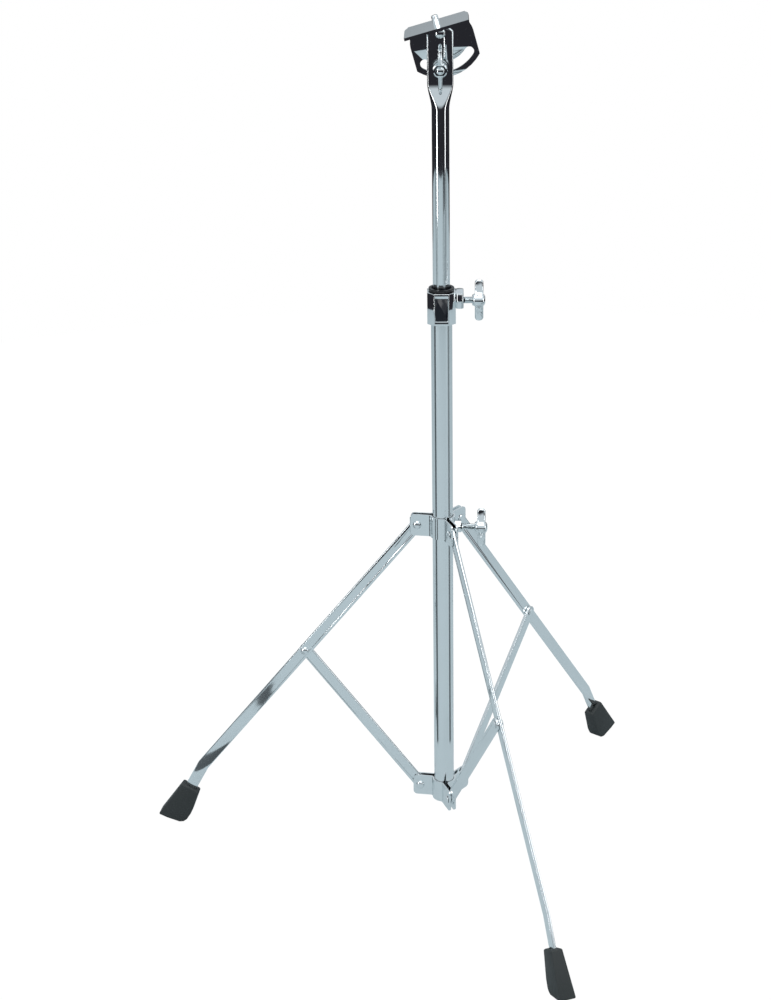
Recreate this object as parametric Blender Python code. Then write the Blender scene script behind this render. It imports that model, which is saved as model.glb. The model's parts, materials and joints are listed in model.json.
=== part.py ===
"""Folding practice pad stand: a tripod base, two telescoping tubes and a tilting pad bracket.

The stand is modelled in metres with +Z up. The pad bracket faces -Y. Every joint has an empty on
its axis, and the pieces that turn or slide with that joint are its children. Each leg hangs from a
sliding collar, a strut ties its middle to the hub, and a leg's length down to the strut equals the
strut's length, so the collar stays level while the stand folds.
"""

import math

import bmesh
import bpy
from mathutils import Vector

MM = 0.001
GAP = 0.3 * MM  # clearance that neighbouring pieces keep

# Tubes
LOWER_TUBE_RADIUS = 10 * MM
LOWER_TUBE_WALL = 1.5 * MM
LOWER_TUBE_LENGTH = 523 * MM
UPPER_TUBE_RADIUS = 8 * MM
UPPER_TUBE_WALL = 1.2 * MM
UPPER_TUBE_LENGTH = 500 * MM  # from its open end up to the tilt pivot
EXTENSION = 255 * MM  # from the lower tube's top up to the tilt pivot, as the stand is set
END_PLUG_SPIGOT = 12 * MM
END_PLUG_FLANGE = 2 * MM
GUIDE_SPIGOT = 14 * MM
GUIDE_LENGTH = 18 * MM

# Tripod linkage
LEG_COUNT = 3
FRONT_LEG_AZIMUTH = -68.5  # degrees, counter-clockwise from +X
FOLD_ANGLE = 38.6  # degrees between the tube and each leg, as the stand is set
LINK_LENGTH = 188 * MM  # leg pivot to strut rivet, and strut rivet to hub pivot
PIVOT_RADIUS = 25 * MM
LEG_LOWER_LENGTH = 182 * MM  # strut rivet to the bend
LEG_BEND = 10.4  # degrees
LEG_SHANK_LENGTH = 31 * MM  # bend to the foot's top
BAR_WIDTH = 12 * MM
BAR_THICKNESS = 3 * MM
BAR_EDGE = 0.8 * MM

# Stamped collars that carry the legs and the struts
SHEET = 1.6 * MM
SHELL_HEIGHT = 22 * MM
EAR_OVERHANG = 7 * MM  # ear beyond its pivot
EAR_CORNER = 4 * MM
SHELL_BEND = 2.5 * MM  # inner radius where an ear leaves the shell
COLLAR_RUNNING = 0.5 * MM  # between the sliding collar and the tube

# Rivets
RIVET_RADIUS = 3 * MM
RIVET_HEAD_RADIUS = 4.3 * MM
RIVET_HEAD_HEIGHT = 2 * MM

# Rubber feet, in the leg's own direction: down along it and outwards across it
FOOT_LENGTH = 46 * MM
FOOT_TOP_WIDTH = 20 * MM
FOOT_HEEL = 13.7 * MM
FOOT_TOE = 16 * MM
FOOT_TOP_THICKNESS = 11.5 * MM
FOOT_SOLE_THICKNESS = 16.5 * MM
FOOT_SOCKET = 26 * MM
FOOT_EDGE = 1.6 * MM

# Clamp collar on top of the lower tube
CLAMP_HALF_WIDTH = 13.3 * MM
CLAMP_CHAMFER = 6.4 * MM
CLAMP_HEIGHT = 30.5 * MM
CLAMP_SEAT = 13 * MM  # how far the lower tube reaches into the collar
CLAMP_LUG_REACH = 20.6 * MM
CLAMP_LUG_HALF_DEPTH = 11 * MM
CLAMP_LUG_HEIGHT = 15 * MM
CLAMP_EDGE = 0.7 * MM
CLAMP_SCREW_DROP = 9.5 * MM  # screw axis below the collar's top
BUSH_FLANGE_RADIUS = 12 * MM
BUSH_FLANGE_HEIGHT = 3 * MM
BUSH_RADIUS = 10.4 * MM
BUSH_FUNNEL = 1.2 * MM
BADGE_WIDTH = 11.6 * MM
BADGE_HEIGHT = 21.6 * MM
BADGE_THICKNESS = 0.6 * MM

# Wing screws and wing nut
SCREW_RADIUS = 3 * MM
WING_SPAN = 40 * MM
WING_WIDTH = 8 * MM
WING_THICKNESS = 5 * MM
WING_EDGE = 1.3 * MM
WING_OFFSET = 2.4 * MM  # from the hub's inner face to the wings
SCREW_HUB_RADIUS = 5.9 * MM
SCREW_HUB_LENGTH = 12 * MM
CLAMP_SCREW_REACH = 28.7 * MM  # tube axis to the hub's inner face
COLLAR_SCREW_REACH = 31.6 * MM
NUT_RADIUS = 6 * MM
NUT_HEIGHT = 6 * MM

# Tilting head, measured from the tilt pivot
HEAD_TILT = -15.5  # degrees about +Y, as the stand is set
BRACKET_WIDTH = 58 * MM
BRACKET_DEPTH = 56 * MM
BRACKET_SHEET = 2.5 * MM
BRACKET_BEND = 2 * MM  # inner radius
BRACKET_WAIST = 3 * MM  # narrowing of each side at the bend
BRACKET_RISE = 12.5 * MM  # pivot up to the pad face
BRACKET_RADIUS = 40 * MM  # pivot to the round lower edge
SLOT_RADIUS = 31 * MM
SLOT_WIDTH = 8.6 * MM
SLOT_HALF_ANGLE = 41.5  # degrees
TONGUE_THICKNESS = 2.8 * MM
TONGUE_LENGTH = 44 * MM  # flat part below the pivot
TONGUE_TAPER = 24 * MM
PIVOT_RIVET_RADIUS = 3.5 * MM
PIVOT_HEAD_RADIUS = 4.8 * MM
BOLT_RADIUS = 4 * MM
BOLT_HEAD_RADIUS = 8 * MM
BOLT_HEAD_HEIGHT = 3.2 * MM
WASHER_RADIUS = 8.5 * MM
WASHER_THICKNESS = 1.4 * MM
WING_NUT_RADIUS = 7.1 * MM
WING_NUT_LENGTH = 11 * MM
BOLT_TIP = 1.5 * MM  # how far the bolt's end stands out of the nut
STUD_SETBACK = 35 * MM  # bracket's front edge to the stud
STUD_RADIUS = 3 * MM
STUD_HEIGHT = 6.5 * MM
STUD_HEAD_RADIUS = 5.5 * MM
STUD_HEAD_HEIGHT = 4 * MM

ROUND = 32  # sides of a turned piece
FINE = 20  # sides of a small turned piece

# Sizes that follow from the ones above
FOLD = math.radians(FOLD_ANGLE)
LEG_ANGLES = [math.radians(FRONT_LEG_AZIMUTH + 360 / LEG_COUNT * k) for k in range(LEG_COUNT)]
COLLAR_RISE = 2 * LINK_LENGTH * math.cos(FOLD)  # hub pivots up to leg pivots
EAR_END = PIVOT_RADIUS + EAR_OVERHANG
CLEVIS_GAP = BAR_THICKNESS + 2 * GAP
STRUT_OFFSET = BAR_THICKNESS + GAP  # a strut's plane beside its leg's plane
TUBE_LOW = -SHELL_HEIGHT / 2 + END_PLUG_FLANGE + GAP
TUBE_HIGH = TUBE_LOW + LOWER_TUBE_LENGTH
TONGUE_HALF_WIDTH = TONGUE_THICKNESS / 2 + (UPPER_TUBE_RADIUS - TONGUE_THICKNESS / 2) * math.pi / 2
PLATE_FRONT = TONGUE_THICKNESS / 2 + GAP  # front face of the bracket's slotted plate, along Y
PLATE_BACK = PLATE_FRONT + BRACKET_SHEET
BRACKET_FRONT = PLATE_BACK - BRACKET_DEPTH
TONGUE_TOP = BRACKET_RISE - BRACKET_SHEET - BRACKET_BEND / 2 - GAP  # clears the inside of the bend


def material(name, colour, roughness, metallic):
    """A Principled material."""
    shader = bpy.data.materials.new(name)
    shader.use_nodes = True
    socket = shader.node_tree.nodes["Principled BSDF"].inputs
    socket["Base Color"].default_value = (*colour, 1)
    socket["Roughness"].default_value = roughness
    socket["Metallic"].default_value = metallic
    shader.diffuse_color = (*colour, 1)
    return shader


def chrome(name):
    return material(name, (0.80, 0.83, 0.84), 0.08, 1.0)


def rubber(name):
    return material(name, (0.03, 0.035, 0.035), 0.65, 0.0)


def plastic(name):
    return material(name, (0.02, 0.02, 0.022), 0.45, 0.0)


def enamel(name):
    return material(name, (0.01, 0.011, 0.015), 0.25, 0.0)


def empty(name, parent=None, location=(0, 0, 0), rotation=(0, 0, 0)):
    """A joint's frame."""
    frame = bpy.data.objects.new(name, None)
    bpy.context.scene.collection.objects.link(frame)
    frame.parent = parent
    frame.location = location
    frame.rotation_euler = rotation
    return frame


def piece(name, bm, parent, finish, location=(0, 0, 0), rotation=(0, 0, 0)):
    """Turns a bmesh into a named object with its own material."""
    bmesh.ops.recalc_face_normals(bm, faces=bm.faces)
    mesh = bpy.data.meshes.new(name)
    bm.to_mesh(mesh)
    bm.free()
    mesh.shade_smooth()
    mesh.set_sharp_from_angle(angle=math.radians(35))
    part = bpy.data.objects.new(name, mesh)
    bpy.context.scene.collection.objects.link(part)
    part.parent = parent
    part.location = location
    part.rotation_euler = rotation
    if finish is not None:
        mesh.materials.append(finish(name + "_finish"))
    return part


def tool(name, bm, target, operation="DIFFERENCE", location=(0, 0, 0), rotation=(0, 0, 0)):
    """A hidden body that cuts its target, or is joined to it, in the target's own frame."""
    body = piece(name, bm, target, None, location, rotation)
    body.hide_render = True
    body.display_type = "WIRE"
    step = target.modifiers.new(name, "BOOLEAN")
    step.operation = operation
    step.solver = "EXACT"
    step.object = body
    return body


def bevel(part, width, segments=2, angle=40):
    """Rounds the sharp edges of a piece."""
    step = part.modifiers.new("rounded edges", "BEVEL")
    step.width = width
    step.segments = segments
    step.limit_method = "ANGLE"
    step.angle_limit = math.radians(angle)


def turned(profile, sides=ROUND, loop=False):
    """Turns a profile of (radius, height) points about Z; a loop makes a ring."""
    bm = bmesh.new()
    rows = []
    for radius, height in profile:
        if radius == 0:
            rows.append([bm.verts.new((0, 0, height))])
            continue
        turns = [2 * math.pi * i / sides for i in range(sides)]
        rows.append([bm.verts.new((radius * math.cos(t), radius * math.sin(t), height)) for t in turns])
    pairs = list(zip(rows, rows[1:]))
    if loop:
        pairs.append((rows[-1], rows[0]))
    for low, high in pairs:
        for i in range(sides):
            j = (i + 1) % sides
            corners = [low[i % len(low)], low[j % len(low)], high[j % len(high)], high[i % len(high)]]
            bm.faces.new(list(dict.fromkeys(corners)))
    return bm


def lofted(rings):
    """Joins rings of equal point counts and closes both ends."""
    bm = bmesh.new()
    rows = [[bm.verts.new(point) for point in ring] for ring in rings]
    count = len(rows[0])
    for low, high in zip(rows, rows[1:]):
        for i in range(count):
            j = (i + 1) % count
            bm.faces.new((low[i], low[j], high[j], high[i]))
    bm.faces.new(rows[0])
    bm.faces.new(rows[-1])
    return bm


def extruded(outline, low, high):
    """Extrudes a closed outline of (x, z) points along Y."""
    return lofted([[(x, y, z) for x, z in outline] for y in (low, high)])


def arc(centre, radius, start, stop, steps):
    """Points on an arc, with its angles in radians."""
    turns = [start + (stop - start) * i / steps for i in range(steps + 1)]
    return [(centre[0] + radius * math.cos(t), centre[1] + radius * math.sin(t)) for t in turns]


def rounded_box(half_x, half_z, corner, steps=5):
    """Outline of a rectangle with round corners, centred on zero."""
    outline = []
    for quarter, (sign_x, sign_z) in enumerate(((1, 1), (-1, 1), (-1, -1), (1, -1))):
        centre = (sign_x * (half_x - corner), sign_z * (half_z - corner))
        start = quarter * math.pi / 2
        outline += arc(centre, corner, start, start + math.pi / 2, steps)
    return outline


def sheet(stations, thickness, place):
    """Bends a strip of sheet along its middle line.

    Each station is (point, half width). The point lies in the plane of the bend, and place turns a
    point of that plane and a distance across the strip into a point of the piece.
    """
    points = [Vector(point) for point, _ in stations]
    rings = []
    for i, (point, half) in enumerate(stations):
        run = (points[min(i + 1, len(points) - 1)] - points[max(i - 1, 0)]).normalized()
        side = Vector((-run.y, run.x)) * thickness / 2
        inner = points[i] - side
        outer = points[i] + side
        rings.append([place(inner, -half), place(inner, half), place(outer, half), place(outer, -half)])
    return lofted(rings)


def rivet(length, radius, head_radius, head_height):
    """A rivet along Z, from under its domed head at zero down to its flat tail's end."""
    dome = [(head_radius * math.cos(t), head_height * math.sin(t)) for t in (0, 0.35, 0.7, 1.05, 1.35)]
    tail = head_height * 0.5
    profile = [(0, head_height)] + dome[::-1] + [(radius, 0), (radius, -length)]
    profile += [(head_radius * 0.9, -length), (head_radius * 0.75, -length - tail), (0, -length - tail)]
    return turned(profile, FINE)


def wings(radius):
    """Both wings of a screw or nut as one flat bar across its axis, which is Z."""
    half = WING_SPAN / 2
    middle = WING_OFFSET + WING_WIDTH / 2
    outline = [(x, z + middle) for x, z in rounded_box(half, WING_WIDTH / 2, WING_WIDTH * 0.42)]
    waist = WING_THICKNESS / 2
    tip = waist * 0.62
    rings = []
    for side in (-1, 1):
        ring = []
        for x, z in outline:
            blend = max(0.0, (abs(x) - radius) / (half - radius))
            ring.append((x, side * (waist + (tip - waist) * blend), z))
        rings.append(ring)
    return lofted(rings)


def wing_head(name, bm, radius, parent, location, rotation):
    """A turned hub with its two wings joined on."""
    head = piece(name, bm, parent, chrome, location, rotation)
    bar = tool(name + "_wings", wings(radius), head, "UNION")
    bevel(bar, WING_EDGE, 2, 50)
    return head


def wing_screw(name, shank, parent, location, rotation):
    """A wing screw along Z, with its hub's inner face at zero and its shank below."""
    hub = SCREW_HUB_RADIUS
    top = SCREW_HUB_LENGTH
    profile = [(0, -shank), (SCREW_RADIUS * 0.75, -shank), (SCREW_RADIUS, -shank + 0.25 * SCREW_RADIUS)]
    profile += [(SCREW_RADIUS, 0), (hub * 0.8, 0), (hub, hub * 0.35), (hub, top * 0.72)]
    profile += [(hub * 0.86, top * 0.92), (hub * 0.55, top), (0, top)]
    return wing_head(name, turned(profile, FINE), hub, parent, location, rotation)


def shell_stations(inner_radius, clevis_shift, first, second):
    """Middle line of one stamped shell, from the ear at one leg round to the ear at the next.

    clevis_shift moves both clevises along their own counter-clockwise direction, so that they hold
    bars beside the legs' planes.
    """
    middle = inner_radius + SHEET / 2
    ear = CLEVIS_GAP / 2 + SHEET / 2
    bend = SHELL_BEND + SHEET / 2
    half = SHELL_HEIGHT / 2
    ends = []
    for azimuth, side in ((first, 1), (second, -1)):
        across = side * (clevis_shift * side + ear)
        beside = side * across + bend
        reach = math.sqrt((middle + bend) ** 2 - beside ** 2)
        outward = Vector((math.cos(azimuth), math.sin(azimuth)))
        sideways = Vector((-outward.y, outward.x)) * side
        line = []
        for i in range(7):
            turn = math.pi / 2 * i / 6
            inset = EAR_CORNER * (1 - math.cos(turn))
            height = half - EAR_CORNER + EAR_CORNER * math.sin(turn)
            line.append((outward * (EAR_END - inset) + sideways * (beside - bend), height))
        centre = outward * reach + sideways * beside
        inward = (-centre).normalized()
        start = -sideways
        total = start.angle(inward)
        for i in range(7):
            share = i / 6
            blend = (start * math.sin((1 - share) * total) + inward * math.sin(share * total)) / math.sin(total)
            line.append((centre + blend * bend, half))
        ends.append(line)
    head, tail = ends
    begin = math.atan2(head[-1][0].y, head[-1][0].x)
    stop = math.atan2(tail[-1][0].y, tail[-1][0].x)
    sweep = (stop - begin) % (2 * math.pi)
    steps = 14
    turns = [begin + sweep * i / steps for i in range(1, steps)]
    band = [(Vector((middle * math.cos(t), middle * math.sin(t))), half) for t in turns]
    return head + band + tail[::-1]


def stamped_shells(name, parent, inner_radius, clevis_shift):
    """Three stamped shells round the tube, whose ears pair up into a clevis for each bar."""
    shells = []
    for k, azimuth in enumerate(LEG_ANGLES):
        stations = shell_stations(inner_radius, clevis_shift, azimuth, LEG_ANGLES[(k + 1) % LEG_COUNT])
        bm = sheet(stations, SHEET, lambda point, across: (point.x, point.y, across))
        shell = piece(f"{name}_shell_{k + 1}", bm, parent, chrome)
        for ear, turn in (("a", azimuth), ("b", LEG_ANGLES[(k + 1) % LEG_COUNT])):
            hole = turned(
                [(0, -PIVOT_RADIUS / 2), (RIVET_RADIUS + GAP, -PIVOT_RADIUS / 2),
                 (RIVET_RADIUS + GAP, PIVOT_RADIUS / 2), (0, PIVOT_RADIUS / 2)], FINE)
            centre = (PIVOT_RADIUS * math.cos(turn), PIVOT_RADIUS * math.sin(turn), 0)
            tool(f"{name}_hole_{k + 1}{ear}", hole, shell, location=centre, rotation=(math.pi / 2, 0, turn))
        shells.append(shell)
    return shells


def clevis_rivet(name, parent, azimuth, clevis_shift):
    """A rivet through a clevis, with its head on the counter-clockwise ear."""
    grip = CLEVIS_GAP + 2 * SHEET + 2 * GAP
    out = Vector((math.cos(azimuth), math.sin(azimuth), 0))
    sideways = Vector((-out.y, out.x, 0))
    centre = out * PIVOT_RADIUS + sideways * (clevis_shift + grip / 2)
    bm = rivet(grip, RIVET_RADIUS, RIVET_HEAD_RADIUS, RIVET_HEAD_HEIGHT)
    return piece(name, bm, parent, chrome, centre, (-math.pi / 2, 0, azimuth))


def bar(name, parent, length, finish, shift):
    """A straight bar along Z from a pivot at zero, round at both ends."""
    radius = BAR_WIDTH / 2
    outline = arc((0, length), radius, 0, math.pi, 10) + arc((0, 0), radius, math.pi, 2 * math.pi, 10)
    part = piece(name, extruded(outline, shift - BAR_THICKNESS / 2, shift + BAR_THICKNESS / 2), parent, finish)
    bevel(part, BAR_EDGE)
    return part


def bar_hole(name, part, height, shift):
    """A rivet's hole across a bar."""
    radius = RIVET_RADIUS + GAP
    reach = BAR_THICKNESS
    bm = turned([(0, -reach), (radius, -reach), (radius, reach), (0, reach)], FINE)
    tool(name, bm, part, location=(0, shift, height), rotation=(math.pi / 2, 0, 0))


def leg(name, parent):
    """A leg down -Z from its pivot, bent edgewise above the foot."""
    radius = BAR_WIDTH / 2
    knee = Vector((0, -(LINK_LENGTH + LEG_LOWER_LENGTH)))
    down, side = shank_directions()
    tip = knee + down * (LEG_SHANK_LENGTH + FOOT_SOCKET - GAP)
    half = math.radians(LEG_BEND) / 2
    mitre = Vector((math.cos(half), -math.sin(half))) * radius / math.cos(half)
    outline = arc((0, 0), radius, 0, math.pi, 10)
    outline += [tuple(knee - mitre), tuple(tip - side * radius)]
    outline += [tuple(tip + side * radius), tuple(knee + mitre)]
    part = piece(name, extruded(outline, -BAR_THICKNESS / 2, BAR_THICKNESS / 2), parent, chrome)
    bevel(part, BAR_EDGE)
    bar_hole(name + "_top_hole", part, 0, 0)
    bar_hole(name + "_middle_hole", part, -LINK_LENGTH, 0)
    return part


def shank_directions():
    """Down the bent end of a leg, and outwards across it, as (x, z) in the leg's frame."""
    bend = math.radians(LEG_BEND)
    down = Vector((-math.sin(bend), -math.cos(bend)))
    side = Vector((math.cos(bend), -math.sin(bend)))
    return down, side


def foot(name, parent):
    """A rubber foot, with the socket that the leg's end sits in."""
    down, side = shank_directions()
    top = Vector((0, -(LINK_LENGTH + LEG_LOWER_LENGTH))) + down * LEG_SHANK_LENGTH
    half = FOOT_TOP_WIDTH / 2
    profile = [(0, -half), (0, half), (FOOT_LENGTH, FOOT_TOE), (FOOT_LENGTH * 0.98, FOOT_TOE * 0.4)]
    profile += [(FOOT_LENGTH * 0.92, -FOOT_HEEL * 0.55), (FOOT_LENGTH * 0.86, -FOOT_HEEL * 0.82)]
    profile += [(FOOT_LENGTH * 0.78, -FOOT_HEEL * 0.95), (FOOT_LENGTH * 0.6, -FOOT_HEEL)]
    rings = []
    for way in (-1, 1):
        ring = []
        for along, across in profile:
            share = along / FOOT_LENGTH
            thickness = FOOT_TOP_THICKNESS + (FOOT_SOLE_THICKNESS - FOOT_TOP_THICKNESS) * share
            point = top + down * along + side * across
            ring.append((point.x, way * thickness / 2, point.y))
        rings.append(ring)
    part = piece(name, lofted(rings), parent, rubber)
    bevel(part, FOOT_EDGE, 3)
    reach = BAR_WIDTH / 2 + GAP
    start = top - down * FOOT_EDGE * 2
    stop = top + down * FOOT_SOCKET
    mouth = [tuple(start - side * reach), tuple(start + side * reach)]
    mouth += [tuple(stop + side * reach), tuple(stop - side * reach)]
    depth = BAR_THICKNESS / 2 + GAP
    tool(name + "_socket", extruded(mouth, -depth, depth), part)
    return part


def cylinder(radius, low, high, sides=ROUND):
    return turned([(0, low), (radius, low), (radius, high), (0, high)], sides)


def tube(inner, outer, low, high, sides=ROUND):
    return turned([(inner, low), (outer, low), (outer, high), (inner, high)], sides, loop=True)


def flattened(half_width, half_thickness, height):
    """A ring between a circle and a slim bar with round edges."""
    ring = []
    for i in range(ROUND):
        turn = 2 * math.pi * (i + 0.5) / ROUND
        shift = math.copysign(half_width - half_thickness, math.cos(turn))
        ring.append((half_thickness * math.cos(turn) + shift, half_thickness * math.sin(turn), height))
    return ring


def upper_tube(parent):
    """The sliding tube, flattened at its top into the tongue that carries the bracket."""
    thin = TONGUE_THICKNESS / 2
    round_end = -(TONGUE_LENGTH + TONGUE_TAPER)
    rings = [flattened(UPPER_TUBE_RADIUS, UPPER_TUBE_RADIUS, -UPPER_TUBE_LENGTH)]
    for i in range(9):
        share = i / 8
        blend = share * share * (3 - 2 * share)
        thickness = UPPER_TUBE_RADIUS + (thin - UPPER_TUBE_RADIUS) * blend
        width = thickness + (UPPER_TUBE_RADIUS - thickness) * math.pi / 2
        rings.append(flattened(width, thickness, round_end + TONGUE_TAPER * share))
    slope = math.radians(SLOT_HALF_ANGLE)
    shoulder = (TONGUE_TOP - TONGUE_HALF_WIDTH * math.sin(slope)) / math.cos(slope)
    rings.append(flattened(TONGUE_HALF_WIDTH, thin, shoulder))
    for turn in (slope, slope * 0.75, slope * 0.5, slope * 0.3):
        rings.append(flattened(TONGUE_TOP * math.sin(turn), thin, TONGUE_TOP * math.cos(turn)))
    part = piece("upper_tube", lofted(rings), parent, chrome)
    bore = cylinder(UPPER_TUBE_RADIUS - UPPER_TUBE_WALL, -UPPER_TUBE_LENGTH - UPPER_TUBE_WALL, round_end)
    tool("upper_tube_bore", bore, part)
    reach = 2 * TONGUE_THICKNESS
    pivot = cylinder(PIVOT_RIVET_RADIUS + GAP, -reach, reach, FINE)
    tool("tongue_pivot_hole", pivot, part, rotation=(math.pi / 2, 0, 0))
    hole = cylinder(BOLT_RADIUS + GAP, -reach, reach, FINE)
    tool("tongue_bolt_hole", hole, part, location=(0, 0, -SLOT_RADIUS), rotation=(math.pi / 2, 0, 0))
    return part


def bracket(parent):
    """The pad bracket: a flat pad seat, bent at its rear into a plate with the tilt slot."""
    half = BRACKET_WIDTH / 2
    middle_y = PLATE_FRONT + BRACKET_SHEET / 2
    middle_z = BRACKET_RISE - BRACKET_SHEET / 2
    bend = BRACKET_BEND + BRACKET_SHEET / 2
    line = [(BRACKET_FRONT, middle_z)]
    line += [(middle_y - bend - step * MM, middle_z) for step in (14, 10.9, 7.4, 4.3, 1.7)]
    line += arc((middle_y - bend, middle_z - bend), bend, math.pi / 2, 0, 6)
    line += [(middle_y, middle_z - bend - step * MM) for step in (1.7, 4.3, 7.4, 10.9, 14)]
    full = -math.sqrt(BRACKET_RADIUS ** 2 - half ** 2)
    line.append((middle_y, full))
    line += [(middle_y, full + (-BRACKET_RADIUS - full) * share) for share in (0.15, 0.35, 0.6, 0.8, 0.93, 0.99)]
    stations = []
    for y, z in line:
        away = max(middle_y - bend - y, middle_z - bend - z, 0) / (14 * MM)
        blend = min(1.0, away)
        width = half - BRACKET_WAIST * (1 - blend * blend * (3 - 2 * blend))
        if z < full:
            width = math.sqrt(BRACKET_RADIUS ** 2 - z * z)
        stations.append(((y, z), width))
    bm = sheet(stations, BRACKET_SHEET, lambda point, across: (across, point.x, point.y))
    part = piece("pad_bracket", bm, parent, chrome)
    spread = math.radians(SLOT_HALF_ANGLE)
    down = -math.pi / 2
    reach = SLOT_WIDTH / 2
    start = (SLOT_RADIUS * math.cos(down - spread), SLOT_RADIUS * math.sin(down - spread))
    stop = (SLOT_RADIUS * math.cos(down + spread), SLOT_RADIUS * math.sin(down + spread))
    outline = arc((0, 0), SLOT_RADIUS + reach, down - spread, down + spread, 20)
    outline += arc(stop, reach, down + spread, down + spread + math.pi, 10)[1:-1]
    outline += arc((0, 0), SLOT_RADIUS - reach, down + spread, down - spread, 20)
    outline += arc(start, reach, down - spread + math.pi, down - spread + 2 * math.pi, 10)[1:-1]
    tool("tilt_slot", extruded(outline, PLATE_FRONT - SHEET, PLATE_BACK + SHEET), part)
    hole = cylinder(PIVOT_RIVET_RADIUS + GAP, PLATE_FRONT - SHEET, PLATE_BACK + SHEET, FINE)
    tool("bracket_pivot_hole", hole, part, rotation=(-math.pi / 2, 0, 0))
    hole = cylinder(STUD_RADIUS + GAP, BRACKET_RISE - 2 * BRACKET_SHEET, BRACKET_RISE + BRACKET_SHEET, FINE)
    tool("stud_hole", hole, part, location=(0, BRACKET_FRONT + STUD_SETBACK, 0))
    return part


def clamp_collar(parent):
    """The cast collar on top of the lower tube, with its top face at zero."""
    wide = CLAMP_HALF_WIDTH
    near = wide - CLAMP_CHAMFER
    plan = [(wide, near), (near, wide), (-near, wide), (-wide, near)]
    plan += [(-x, -y) for x, y in plan]
    rings = [[(x, y, z) for x, y in plan] for z in (-CLAMP_HEIGHT, 0)]
    part = piece("clamp_collar", lofted(rings), parent, chrome)
    middle = wide / 2 + CLAMP_LUG_REACH / 2
    plan = rounded_box(CLAMP_LUG_REACH - middle, CLAMP_LUG_HALF_DEPTH - MM, 2.5 * MM)
    rings = [[(x + middle, y, z) for x, y in plan] for z in (-CLAMP_LUG_HEIGHT, -CLAMP_EDGE)]
    tool("clamp_lug", lofted(rings), part, "UNION")
    bevel(part, CLAMP_EDGE, 2, 30)
    seat = -CLAMP_HEIGHT + CLAMP_SEAT
    lower = LOWER_TUBE_RADIUS + GAP
    upper = BUSH_RADIUS + GAP
    bore = turned([(0, -CLAMP_HEIGHT - MM), (lower, -CLAMP_HEIGHT - MM), (lower, seat), (upper, seat),
                   (upper, MM), (0, MM)])
    tool("clamp_bore", bore, part)
    tool("clamp_screw_hole", cylinder(SCREW_RADIUS + GAP, 0, 2 * CLAMP_LUG_REACH, FINE), part,
         location=(0, 0, -CLAMP_SCREW_DROP), rotation=(0, math.pi / 2, 0))
    half_x = BADGE_WIDTH / 2 + GAP
    half_z = BADGE_HEIGHT / 2 + GAP
    outline = [(half_x, half_z), (-half_x, half_z), (-half_x, -half_z), (half_x, -half_z)]
    outline = [(x, z - CLAMP_HEIGHT / 2) for x, z in outline]
    recess = extruded(outline, -wide - MM, -wide + BADGE_THICKNESS + GAP)
    tool("badge_recess", recess, part)
    return part


def build_tripod(root):
    """The hub, the collar, and the legs and struts between them."""
    hub = empty("hub", root)
    collar = empty("leg_collar", root, (0, 0, COLLAR_RISE))
    stamped_shells("hub", hub, LOWER_TUBE_RADIUS + GAP, -STRUT_OFFSET)
    shells = stamped_shells("collar", collar, LOWER_TUBE_RADIUS + COLLAR_RUNNING, 0)
    for k, azimuth in enumerate(LEG_ANGLES):
        number = k + 1
        place = (PIVOT_RADIUS * math.cos(azimuth), PIVOT_RADIUS * math.sin(azimuth), 0)
        clevis_rivet(f"hub_rivet_{number}", hub, azimuth, -STRUT_OFFSET)
        clevis_rivet(f"collar_rivet_{number}", collar, azimuth, 0)
        leg_joint = empty(f"leg_joint_{number}", collar, place, (0, -FOLD, azimuth))
        leg(f"leg_{number}", leg_joint)
        foot(f"foot_{number}", leg_joint)
        strut_joint = empty(f"strut_joint_{number}", hub, place, (0, FOLD, azimuth))
        strut = bar(f"strut_{number}", strut_joint, LINK_LENGTH, chrome, -STRUT_OFFSET)
        bar_hole(f"strut_{number}_low_hole", strut, 0, -STRUT_OFFSET)
        bar_hole(f"strut_{number}_high_hole", strut, LINK_LENGTH, -STRUT_OFFSET)
        grip = 2 * BAR_THICKNESS + 3 * GAP
        bm = rivet(grip, RIVET_RADIUS, RIVET_HEAD_RADIUS, RIVET_HEAD_HEIGHT)
        head = (0, BAR_THICKNESS / 2 + GAP, LINK_LENGTH)
        piece(f"leg_rivet_{number}", bm, strut_joint, chrome, head, (-math.pi / 2, 0, 0))
    side = (LEG_ANGLES[0] + LEG_ANGLES[1]) / 2
    turn = (0, math.pi / 2, side)
    outside = LOWER_TUBE_RADIUS + COLLAR_RUNNING + SHEET + GAP
    hole = cylinder(SCREW_RADIUS + GAP, 0, 2 * outside, FINE)
    tool("collar_screw_hole", hole, shells[0], rotation=turn)
    nut = tube(SCREW_RADIUS + GAP, NUT_RADIUS, outside, outside + NUT_HEIGHT, FINE)
    piece("collar_nut", nut, collar, chrome, rotation=turn)
    reach = COLLAR_SCREW_REACH
    screw_joint = empty("collar_screw_joint", collar, (reach * math.cos(side), reach * math.sin(side), 0), turn)
    wing_screw("collar_screw", reach - LOWER_TUBE_RADIUS - GAP, screw_joint, (0, 0, 0), (0, 0, 0))


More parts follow.
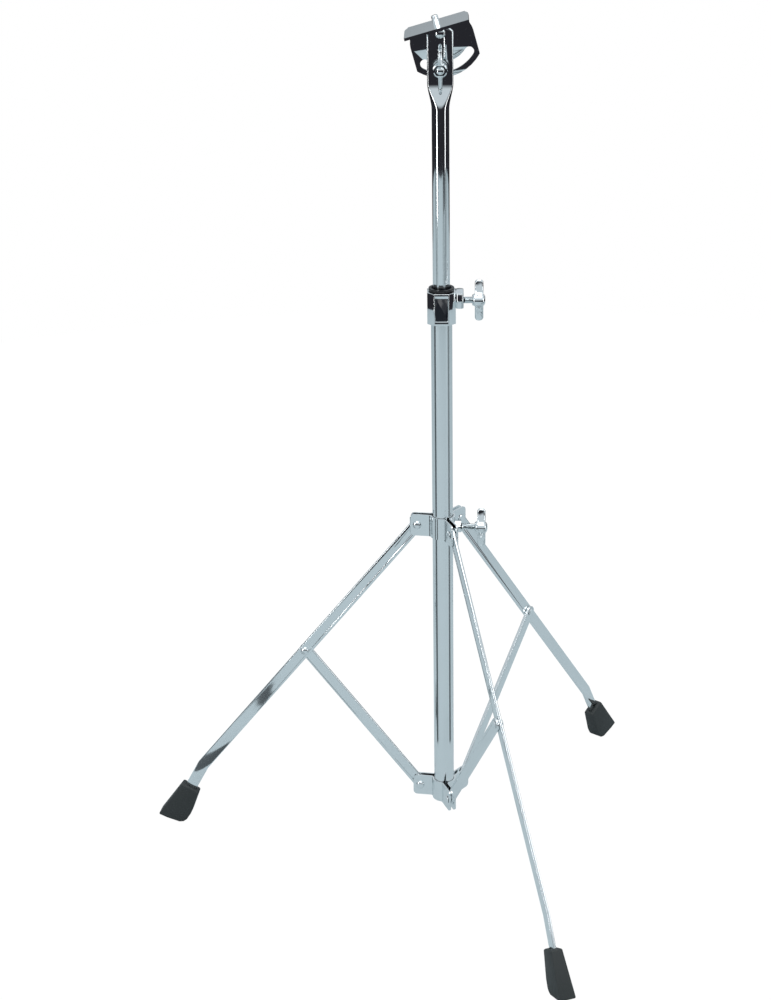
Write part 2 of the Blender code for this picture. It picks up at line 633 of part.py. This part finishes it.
def build_column(root):
    """The lower tube with its plug, clamp collar, bush and clamp screw."""
    bore = LOWER_TUBE_RADIUS - LOWER_TUBE_WALL
    piece("lower_tube", tube(bore, LOWER_TUBE_RADIUS, TUBE_LOW, TUBE_HIGH), root, chrome)
    flange = TUBE_LOW - GAP
    plug = [(0, flange - END_PLUG_FLANGE), (LOWER_TUBE_RADIUS, flange - END_PLUG_FLANGE)]
    plug += [(LOWER_TUBE_RADIUS, flange), (bore - GAP, flange), (bore - GAP, TUBE_LOW + END_PLUG_SPIGOT)]
    plug.append((0, TUBE_LOW + END_PLUG_SPIGOT))
    piece("tube_end_plug", turned(plug), root, plastic)
    clamp = empty("clamp", root, (0, 0, TUBE_HIGH + GAP - CLAMP_SEAT + CLAMP_HEIGHT))
    clamp_collar(clamp)
    inner = UPPER_TUBE_RADIUS + GAP
    length = CLAMP_HEIGHT - CLAMP_SEAT - GAP
    ring = [(inner, -length), (BUSH_RADIUS, -length), (BUSH_RADIUS, GAP), (BUSH_FLANGE_RADIUS, GAP)]
    ring += [(BUSH_FLANGE_RADIUS, BUSH_FLANGE_HEIGHT), (inner + BUSH_FUNNEL, BUSH_FLANGE_HEIGHT)]
    ring.append((inner, BUSH_FLANGE_HEIGHT - 2 * BUSH_FUNNEL))
    bush = piece("clamp_bush", turned(ring, loop=True), clamp, plastic)
    hole = cylinder(SCREW_RADIUS + GAP, 0, 2 * BUSH_RADIUS, FINE)
    tool("bush_screw_hole", hole, bush, location=(0, 0, -CLAMP_SCREW_DROP), rotation=(0, math.pi / 2, 0))
    outline = rounded_box(BADGE_WIDTH / 2, BADGE_HEIGHT / 2, MM, 2)
    badge = extruded(outline, -CLAMP_HALF_WIDTH, -CLAMP_HALF_WIDTH + BADGE_THICKNESS)
    piece("badge_plate", badge, clamp, enamel, (0, 0, -CLAMP_HEIGHT / 2))
    joint = empty("clamp_screw_joint", clamp, (CLAMP_SCREW_REACH, 0, -CLAMP_SCREW_DROP), (0, math.pi / 2, 0))
    wing_screw("clamp_screw", CLAMP_SCREW_REACH - UPPER_TUBE_RADIUS - GAP, joint, (0, 0, 0), (0, 0, 0))


def build_mast(root):
    """The upper tube with its guide plug, and the tilting head on its tongue."""
    mast = empty("mast", root, (0, 0, TUBE_HIGH + EXTENSION))
    foot_end = -UPPER_TUBE_LENGTH
    flange = foot_end - GAP
    wide = LOWER_TUBE_RADIUS - LOWER_TUBE_WALL - GAP
    slim = UPPER_TUBE_RADIUS - UPPER_TUBE_WALL - GAP
    low = foot_end + GUIDE_SPIGOT - GUIDE_LENGTH
    guide = [(0, low), (wide, low), (wide, flange), (slim, flange), (slim, foot_end + GUIDE_SPIGOT)]
    guide.append((0, foot_end + GUIDE_SPIGOT))
    piece("guide_plug", turned(guide), mast, plastic)
    upper_tube(mast)
    grip = TONGUE_THICKNESS + BRACKET_SHEET + 3 * GAP
    to_back = (-math.pi / 2, 0, 0)
    pivot = rivet(grip, PIVOT_RIVET_RADIUS, PIVOT_HEAD_RADIUS, RIVET_HEAD_HEIGHT)
    front = -TONGUE_THICKNESS / 2 - GAP
    piece("tilt_pivot", pivot, mast, chrome, (0, front, 0), (math.pi / 2, 0, 0))
    height = -SLOT_RADIUS
    inner = BOLT_RADIUS + GAP
    behind = PLATE_BACK + GAP
    washer = tube(inner, WASHER_RADIUS, 0, WASHER_THICKNESS, FINE)
    piece("slot_washer", washer, mast, chrome, (0, behind, height), to_back)
    washer = tube(inner, WASHER_RADIUS, 0, WASHER_THICKNESS, FINE)
    piece("nut_washer", washer, mast, chrome, (0, front - WASHER_THICKNESS, height), to_back)
    seat = front - WASHER_THICKNESS - GAP
    under_head = behind + WASHER_THICKNESS + GAP
    length = under_head - (seat - WING_NUT_LENGTH - BOLT_TIP)
    dome = [(BOLT_HEAD_RADIUS * math.cos(t), BOLT_HEAD_HEIGHT * math.sin(t)) for t in (0, 0.35, 0.7, 1.05, 1.35)]
    bolt = [(0, BOLT_HEAD_HEIGHT)] + dome[::-1] + [(BOLT_RADIUS, 0), (BOLT_RADIUS, -length + BOLT_TIP)]
    bolt += [(BOLT_RADIUS * 0.6, -length), (0, -length)]
    piece("tilt_bolt", turned(bolt, FINE), mast, chrome, (0, under_head, height), to_back)
    nut_joint = empty("tilt_nut_joint", mast, (0, seat, height), (math.pi / 2, -math.pi / 2, 0))
    hub = WING_NUT_RADIUS
    top = WING_NUT_LENGTH
    body = turned([(0, 0), (hub * 0.85, 0), (hub, hub * 0.25), (hub * 0.95, top * 0.8), (hub * 0.75, top), (0, top)], FINE)
    nut = wing_head("tilt_wing_nut", body, hub, nut_joint, (0, 0, 0), (0, 0, 0))
    tool("wing_nut_bore", cylinder(inner, -MM, top + MM, FINE), nut)
    tilt = empty("tilt", mast, (0, 0, 0), (0, math.radians(HEAD_TILT), 0))
    bracket(tilt)
    under = -BRACKET_SHEET - GAP
    stud = [(0, under - STUD_HEAD_HEIGHT), (STUD_HEAD_RADIUS * 0.9, under - STUD_HEAD_HEIGHT)]
    stud += [(STUD_HEAD_RADIUS, under - STUD_HEAD_HEIGHT * 0.8), (STUD_HEAD_RADIUS, under)]
    stud += [(STUD_RADIUS, under), (STUD_RADIUS, STUD_HEIGHT * 0.9), (STUD_RADIUS * 0.8, STUD_HEIGHT)]
    stud.append((0, STUD_HEIGHT))
    place = (0, BRACKET_FRONT + STUD_SETBACK, BRACKET_RISE)
    piece("pad_stud", turned(stud, FINE), tilt, chrome, place)


def stand_on_floor(root):
    """Moves the stand so that its box is centred on the origin and stands on the floor."""
    bpy.context.view_layer.update()
    low = Vector((math.inf,) * 3)
    high = -low
    graph = bpy.context.evaluated_depsgraph_get()
    for part in bpy.context.scene.objects:
        if part.type != "MESH" or part.hide_render:
            continue
        shape = part.evaluated_get(graph)
        for vertex in shape.data.vertices:
            point = part.matrix_world @ vertex.co
            low = Vector(map(min, low, point))
            high = Vector(map(max, high, point))
    root.location = (-(low.x + high.x) / 2, -(low.y + high.y) / 2, -low.z)


def main():
    for old in list(bpy.data.objects):
        bpy.data.objects.remove(old, do_unlink=True)
    root = empty("practice_pad_stand")
    build_tripod(root)
    build_column(root)
    build_mast(root)
    stand_on_floor(root)


main()
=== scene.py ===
"""Looks of the folding practice pad stand: polished chrome, black rubber and a white studio.

Each sub-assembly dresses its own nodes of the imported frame: it copies a node's solid, merges its
triangles, gives it a finish and lets it ride on the node's body.
"""

from __future__ import annotations

import json
import math
from dataclasses import dataclass, field
from enum import Enum

import bmesh
import bpy
from mathutils import Matrix, Vector

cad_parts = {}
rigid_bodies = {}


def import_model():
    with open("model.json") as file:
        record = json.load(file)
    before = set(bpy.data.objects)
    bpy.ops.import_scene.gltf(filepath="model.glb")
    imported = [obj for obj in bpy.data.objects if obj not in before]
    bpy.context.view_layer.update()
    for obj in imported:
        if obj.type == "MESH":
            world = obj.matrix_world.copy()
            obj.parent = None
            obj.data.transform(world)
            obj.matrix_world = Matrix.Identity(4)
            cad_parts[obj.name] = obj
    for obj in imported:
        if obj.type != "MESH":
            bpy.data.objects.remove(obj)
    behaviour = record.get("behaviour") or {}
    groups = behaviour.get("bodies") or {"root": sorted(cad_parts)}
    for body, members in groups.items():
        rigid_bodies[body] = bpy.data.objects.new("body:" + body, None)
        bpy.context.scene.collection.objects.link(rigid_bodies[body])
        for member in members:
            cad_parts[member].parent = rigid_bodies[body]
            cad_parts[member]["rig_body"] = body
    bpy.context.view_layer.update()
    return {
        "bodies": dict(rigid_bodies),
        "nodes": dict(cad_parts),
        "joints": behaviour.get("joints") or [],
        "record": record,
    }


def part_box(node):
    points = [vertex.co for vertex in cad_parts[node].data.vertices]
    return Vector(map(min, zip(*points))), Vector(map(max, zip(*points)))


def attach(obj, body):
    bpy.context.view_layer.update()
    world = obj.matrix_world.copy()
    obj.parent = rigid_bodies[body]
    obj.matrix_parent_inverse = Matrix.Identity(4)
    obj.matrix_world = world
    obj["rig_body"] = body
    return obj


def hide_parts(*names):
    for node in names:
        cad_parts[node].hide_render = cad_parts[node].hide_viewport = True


MM = 0.001
MERGE_DISTANCE = 0.002 * MM  # between corners of neighbouring triangles
SMOOTH_ANGLE = 32.0  # degrees up to which faces shade as one

# Camera, measured from the tube's foot on the floor
CAMERA_DISTANCE = 1.81563
CAMERA_HEIGHT = 1.14316
CAMERA_PITCH = 0.39571  # radians below the horizon
CAMERA_YAW = -0.03055
CAMERA_ROLL = -0.01733
CAMERA_LENS = 48.586
SENSOR_HEIGHT = 24.0

# Studio
FLOOR_RADIUS = 1.85
FLOOR_SIDES = 96
FLOOR_DROP = 0.2 * MM  # below the feet
FLOOR_ROUGHNESS = 0.9
FLOOR_COLOUR = (0.50, 0.56, 0.58)
FLOOR_SHADOW = 0.06  # share of the floor's own shading that the camera sees
FLOOR_WHITE = 1.05  # strength at which the camera sees the floor
DARK_SURROUND = (0.022, 0.022, 0.027, 1)
PALE_SURROUND = (0.60, 0.66, 0.70, 1)
DARK_BELOW = 0.50  # height in the surround, from 0 straight down to 1 straight up
PALE_ABOVE = 0.62
STRIP_COLOUR = (0.06, 0.07, 0.075)
STRIP_NEAR = 0.22  # from the tube to a strip's near end
STRIP_RISE = 0.1 * MM  # above the ground level
# Azimuth and width of each strip, in degrees
STRIPS = ((-50.0, 9.0), (-64.0, 3.0), (-18.0, 14.0), (-141.0, 5.0), (-165.0, 10.0))
LAMP_AIM = 0.45  # height that the lamps face


class Surface(Enum):
    """What a piece is made of."""

    CHROME = "chrome"
    RUBBER = "rubber"
    PLASTIC = "plastic"
    LABEL = "label"


@dataclass(frozen=True)
class Finish:
    """One finish: its shader's own values and how much it varies over the surface."""

    name: str
    colour: tuple[float, float, float]
    roughness: float
    metallic: float
    variation: float
    grain: float
    bump: float


FINISHES = {
    Surface.CHROME: Finish("polished_chrome", (0.83, 0.86, 0.87), 0.07, 1.0, 0.05, 30.0, 0.015),
    Surface.RUBBER: Finish("black_rubber", (0.022, 0.026, 0.026), 0.60, 0.0, 0.25, 240.0, 0.15),
    Surface.PLASTIC: Finish("black_nylon", (0.012, 0.012, 0.014), 0.40, 0.0, 0.15, 160.0, 0.05),
    Surface.LABEL: Finish("black_label", (0.006, 0.007, 0.012), 0.22, 0.0, 0.05, 60.0, 0.0),
}


@dataclass(frozen=True)
class Lamp:
    """A soft rectangular lamp: its centre from the tube's foot, its sides in metres and its watts."""

    name: str
    place: tuple[float, float, float]
    width: float
    height: float
    power: float


LAMPS = (
    Lamp("key", (-1.9, -1.7, 0.2), 0.22, 3.4, 18),
    Lamp("fill", (2.3, -1.2, 0.8), 0.3, 3.0, 9),
    Lamp("top", (0.0, -0.4, 2.6), 2.2, 2.2, 30),
)


def grain_group() -> bpy.types.NodeTree:
    """Builds the shared shader effect: a fine grain over colour, roughness and surface.

    Returns:
        A shader node group with Colour, Roughness, Variation, Grain and Bump as inputs.
    """
    group = bpy.data.node_groups.new("surface_grain", "ShaderNodeTree")
    face = group.interface
    for name, kind in (("Colour", "Color"), ("Roughness", "Float"), ("Variation", "Float"),
                       ("Grain", "Float"), ("Bump", "Float")):
        face.new_socket(name, in_out="INPUT", socket_type="NodeSocket" + kind)
    for name, kind in (("Colour", "Color"), ("Roughness", "Float"), ("Height", "Float")):
        face.new_socket(name, in_out="OUTPUT", socket_type="NodeSocket" + kind)
    nodes = group.nodes
    link = group.links.new
    start = nodes.new("NodeGroupInput")
    end = nodes.new("NodeGroupOutput")
    place = nodes.new("ShaderNodeTexCoord")
    noise = nodes.new("ShaderNodeTexNoise")
    link(place.outputs["Object"], noise.inputs["Vector"])
    link(start.outputs["Grain"], noise.inputs["Scale"])
    centred = nodes.new("ShaderNodeMath")
    centred.operation = "SUBTRACT"
    centred.inputs[1].default_value = 0.5
    link(noise.outputs["Fac"], centred.inputs[0])
    share = nodes.new("ShaderNodeMath")
    share.operation = "MULTIPLY_ADD"
    share.inputs[2].default_value = 1.0
    link(centred.outputs[0], share.inputs[0])
    link(start.outputs["Variation"], share.inputs[1])
    rough = nodes.new("ShaderNodeMath")
    rough.operation = "MULTIPLY"
    link(start.outputs["Roughness"], rough.inputs[0])
    link(share.outputs[0], rough.inputs[1])
    tint = nodes.new("ShaderNodeVectorMath")
    tint.operation = "SCALE"
    link(start.outputs["Colour"], tint.inputs[0])
    link(share.outputs[0], tint.inputs["Scale"])
    height = nodes.new("ShaderNodeMath")
    height.operation = "MULTIPLY"
    link(noise.outputs["Fac"], height.inputs[0])
    link(start.outputs["Bump"], height.inputs[1])
    link(tint.outputs[0], end.inputs["Colour"])
    link(rough.outputs[0], end.inputs["Roughness"])
    link(height.outputs[0], end.inputs["Height"])
    return group


class Finisher:
    """Makes each finish once and hands it out."""

    def __init__(self) -> None:
        self.group = grain_group()
        self.made: dict[Surface, bpy.types.Material] = {}

    def material(self, surface: Surface) -> bpy.types.Material:
        """Returns the material of a surface.

        Args:
            surface: What the piece is made of.

        Returns:
            Its material, made at the first call.
        """
        if surface in self.made:
            return self.made[surface]
        finish = FINISHES[surface]
        shader = bpy.data.materials.new(finish.name)
        shader.use_nodes = True
        tree = shader.node_tree
        bsdf = tree.nodes["Principled BSDF"]
        bsdf.inputs["Metallic"].default_value = finish.metallic
        grain = tree.nodes.new("ShaderNodeGroup")
        grain.node_tree = self.group
        grain.inputs["Colour"].default_value = (*finish.colour, 1)
        grain.inputs["Roughness"].default_value = finish.roughness
        grain.inputs["Variation"].default_value = finish.variation
        grain.inputs["Grain"].default_value = finish.grain
        grain.inputs["Bump"].default_value = finish.bump
        bump = tree.nodes.new("ShaderNodeBump")
        bump.inputs["Distance"].default_value = MM
        tree.links.new(grain.outputs["Height"], bump.inputs["Height"])
        tree.links.new(grain.outputs["Colour"], bsdf.inputs["Base Color"])
        tree.links.new(grain.outputs["Roughness"], bsdf.inputs["Roughness"])
        if finish.bump > 0:
            tree.links.new(bump.outputs["Normal"], bsdf.inputs["Normal"])
        self.made[surface] = shader
        return shader


@dataclass
class Assembly:
    """Pieces of the frame that belong together.

    Attributes:
        name: What the assembly is called in the log.
        pieces: Node names and what each is made of.
    """

    name: str
    pieces: dict[str, Surface] = field(default_factory=dict)

    def build(self, frame: dict, finisher: Finisher) -> None:
        """Dresses every piece.

        Args:
            finisher: Where the materials come from.
        """
        for node, surface in self.pieces.items():
            dressed = self.dress(frame["nodes"][node], surface, finisher)
            print(f"{self.name}: {dressed.name}")

    def dress(self, source: bpy.types.Object, surface: Surface, finisher: Finisher) -> bpy.types.Object:
        """Makes the finished copy of one node.

        Args:
            source: The node's object in the frame.
            surface: What it is made of.
            finisher: Where the material comes from.

        Returns:
            The new object, which replaces the node.
        """
        bm = bmesh.new()
        bm.from_mesh(source.data)
        bmesh.ops.remove_doubles(bm, verts=bm.verts, dist=MERGE_DISTANCE)
        mesh = bpy.data.meshes.new(source.name + "_look")
        bm.to_mesh(mesh)
        bm.free()
        mesh.materials.clear()
        mesh.materials.append(finisher.material(surface))
        for polygon in mesh.polygons:
            polygon.material_index = 0
        mesh.shade_smooth()
        mesh.set_sharp_from_angle(angle=math.radians(SMOOTH_ANGLE))
        piece = bpy.data.objects.new(source.name + "_look", mesh)
        bpy.context.scene.collection.objects.link(piece)
        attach(piece, source["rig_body"])
        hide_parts(source.name)
        return piece


def numbered(name: str, surface: Surface) -> dict[str, Surface]:
    """Names the three like pieces of the tripod.

    Args:
        name: Their node name without its number.
        surface: What they are made of.

    Returns:
        Node names and what each is made of.
    """
    return {f"{name}_{number}": surface for number in (1, 2, 3)}


def assemblies() -> list[Assembly]:
    """Lists the stand's sub-assemblies from the floor up.

    Returns:
        The sub-assemblies, which hold every node once.
    """
    chrome = Surface.CHROME
    legs = numbered("leg", chrome) | numbered("strut", chrome)
    legs |= numbered("leg_rivet", chrome) | numbered("foot", Surface.RUBBER)
    hub = numbered("hub_shell", chrome) | numbered("hub_rivet", chrome)
    collar = numbered("collar_shell", chrome) | numbered("collar_rivet", chrome)
    collar |= {"collar_nut": chrome, "collar_screw": chrome}
    column = {"lower_tube": chrome, "tube_end_plug": Surface.PLASTIC, "clamp_collar": chrome,
              "clamp_bush": Surface.PLASTIC, "badge_plate": Surface.LABEL, "clamp_screw": chrome}
    mast = {"upper_tube": chrome, "guide_plug": Surface.PLASTIC}
    head = {node: chrome for node in ("pad_bracket", "pad_stud", "tilt_pivot", "tilt_bolt",
                                      "slot_washer", "nut_washer", "tilt_wing_nut")}
    return [Assembly("legs", legs), Assembly("hub", hub), Assembly("leg collar", collar),
            Assembly("column", column), Assembly("mast", mast), Assembly("head", head)]


@dataclass
class Studio:
    """Floor, lamps, surround and camera.

    Attributes:
        axis: Where the tube's axis meets the floor.
    """

    axis: Vector

    def build(self) -> None:
        """Builds the whole studio."""
        self.floor()
        for number, (azimuth, width) in enumerate(STRIPS, 1):
            self.strip(number, math.radians(azimuth), math.radians(width) / 2)
        for lamp in LAMPS:
            self.panel(lamp)
        self.surround()
        self.camera()

    def floor(self) -> None:
        """A round pale floor, which the camera sees as nearly white."""
        bm = bmesh.new()
        bmesh.ops.create_circle(bm, cap_ends=True, segments=FLOOR_SIDES, radius=FLOOR_RADIUS)
        mesh = bpy.data.meshes.new("studio_floor")
        bm.to_mesh(mesh)
        bm.free()
        floor = bpy.data.objects.new("studio_floor", mesh)
        bpy.context.scene.collection.objects.link(floor)
        floor.location = (self.axis.x, self.axis.y, -FLOOR_DROP)
        shader = bpy.data.materials.new("floor")
        shader.use_nodes = True
        tree = shader.node_tree
        bsdf = tree.nodes["Principled BSDF"]
        bsdf.inputs["Base Color"].default_value = (*FLOOR_COLOUR, 1)
        bsdf.inputs["Roughness"].default_value = FLOOR_ROUGHNESS
        white = tree.nodes.new("ShaderNodeEmission")
        white.inputs["Strength"].default_value = FLOOR_WHITE
        path = tree.nodes.new("ShaderNodeLightPath")
        share = tree.nodes.new("ShaderNodeMath")
        share.operation = "MULTIPLY"
        share.inputs[1].default_value = 1 - FLOOR_SHADOW
        mix = tree.nodes.new("ShaderNodeMixShader")
        tree.links.new(path.outputs["Is Camera Ray"], share.inputs[0])
        tree.links.new(share.outputs[0], mix.inputs["Fac"])
        tree.links.new(bsdf.outputs[0], mix.inputs[1])
        tree.links.new(white.outputs[0], mix.inputs[2])
        tree.links.new(mix.outputs[0], tree.nodes["Material Output"].inputs["Surface"])
        mesh.materials.append(shader)

    def strip(self, number: int, azimuth: float, half: float) -> None:
        """A dark strip on the floor, seen only in the metal as an upright stripe.

        Args:
            number: Its number, for its name.
            azimuth: Its direction from the tube, in radians.
            half: Half its angle, in radians.
        """
        reach = FLOOR_RADIUS
        corners = [(STRIP_NEAR, azimuth - half), (reach, azimuth - half),
                   (reach, azimuth + half), (STRIP_NEAR, azimuth + half)]
        points = [(r * math.cos(a), r * math.sin(a), 0) for r, a in corners]
        mesh = bpy.data.meshes.new(f"floor_strip_{number}")
        mesh.from_pydata(points, [], [(0, 1, 2, 3)])
        strip = bpy.data.objects.new(f"floor_strip_{number}", mesh)
        bpy.context.scene.collection.objects.link(strip)
        strip.location = (self.axis.x, self.axis.y, STRIP_RISE)
        strip.visible_camera = False
        strip.visible_shadow = False
        strip.visible_diffuse = False
        shader = bpy.data.materials.new(f"floor_strip_{number}")
        shader.use_nodes = True
        bsdf = shader.node_tree.nodes["Principled BSDF"]
        bsdf.inputs["Base Color"].default_value = (*STRIP_COLOUR, 1)
        bsdf.inputs["Roughness"].default_value = FLOOR_ROUGHNESS
        mesh.materials.append(shader)

    def panel(self, lamp: Lamp) -> None:
        """Hangs a soft lamp that faces the stand.

        Args:
            lamp: Its place, size and power.
        """
        light = bpy.data.lights.new(lamp.name, "AREA")
        light.shape = "RECTANGLE"
        light.size = lamp.width
        light.size_y = lamp.height
        light.energy = lamp.power
        panel = bpy.data.objects.new(lamp.name, light)
        bpy.context.scene.collection.objects.link(panel)
        panel.location = self.axis + Vector(lamp.place)
        aim = self.axis + Vector((0, 0, LAMP_AIM)) - panel.location
        panel.rotation_euler = aim.to_track_quat("-Z", "Y").to_euler()

    def surround(self) -> None:
        """White for the camera, and for the metal a room that is dark low down and pale above."""
        world = bpy.data.worlds.new("studio")
        bpy.context.scene.world = world
        world.use_nodes = True
        tree = world.node_tree
        room = tree.nodes["Background"]
        place = tree.nodes.new("ShaderNodeTexCoord")
        split = tree.nodes.new("ShaderNodeSeparateXYZ")
        level = tree.nodes.new("ShaderNodeMapRange")
        level.inputs["From Min"].default_value = -1
        ramp = tree.nodes.new("ShaderNodeValToRGB")
        ramp.color_ramp.elements[0].position = DARK_BELOW
        ramp.color_ramp.elements[0].color = DARK_SURROUND
        ramp.color_ramp.elements[1].position = PALE_ABOVE
        ramp.color_ramp.elements[1].color = PALE_SURROUND
        tree.links.new(place.outputs["Generated"], split.inputs[0])
        tree.links.new(split.outputs["Z"], level.inputs["Value"])
        tree.links.new(level.outputs[0], ramp.inputs[0])
        tree.links.new(ramp.outputs[0], room.inputs["Color"])
        white = tree.nodes.new("ShaderNodeBackground")
        white.inputs["Color"].default_value = (1, 1, 1, 1)
        path = tree.nodes.new("ShaderNodeLightPath")
        mix = tree.nodes.new("ShaderNodeMixShader")
        tree.links.new(path.outputs["Is Camera Ray"], mix.inputs["Fac"])
        tree.links.new(room.outputs[0], mix.inputs[1])
        tree.links.new(white.outputs[0], mix.inputs[2])
        tree.links.new(mix.outputs[0], tree.nodes["World Output"].inputs["Surface"])

    def camera(self) -> None:
        """Puts the camera where the photograph was taken from."""
        pitch = CAMERA_PITCH
        forward = Vector((math.sin(CAMERA_YAW) * math.cos(pitch), math.cos(CAMERA_YAW) * math.cos(pitch),
                          -math.sin(pitch)))
        level = forward.cross(Vector((0, 0, 1))).normalized()
        rise = level.cross(forward)
        right = level * math.cos(CAMERA_ROLL) + rise * math.sin(CAMERA_ROLL)
        up = rise * math.cos(CAMERA_ROLL) - level * math.sin(CAMERA_ROLL)
        data = bpy.data.cameras.new("camera")
        data.sensor_fit = "VERTICAL"
        data.sensor_height = SENSOR_HEIGHT
        data.lens = CAMERA_LENS
        camera = bpy.data.objects.new("camera", data)
        bpy.context.scene.collection.objects.link(camera)
        turn = Matrix((right, up, -forward)).transposed().to_4x4()
        spot = self.axis + Vector((0, -CAMERA_DISTANCE, CAMERA_HEIGHT))
        camera.matrix_world = Matrix.Translation(spot) @ turn
        bpy.context.scene.camera = camera


def main() -> None:
    """Builds the stand's looks in order, then the studio round it."""
    for old in list(bpy.data.objects):
        bpy.data.objects.remove(old, do_unlink=True)
    bpy.context.scene.view_settings.view_transform = "Standard"
    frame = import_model()
    finisher = Finisher()
    for assembly in assemblies():
        assembly.build(frame, finisher)
    low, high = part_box("lower_tube")
    Studio(Vector(((low.x + high.x) / 2, (low.y + high.y) / 2, 0))).build()


if __name__ == "__main__":
    main()
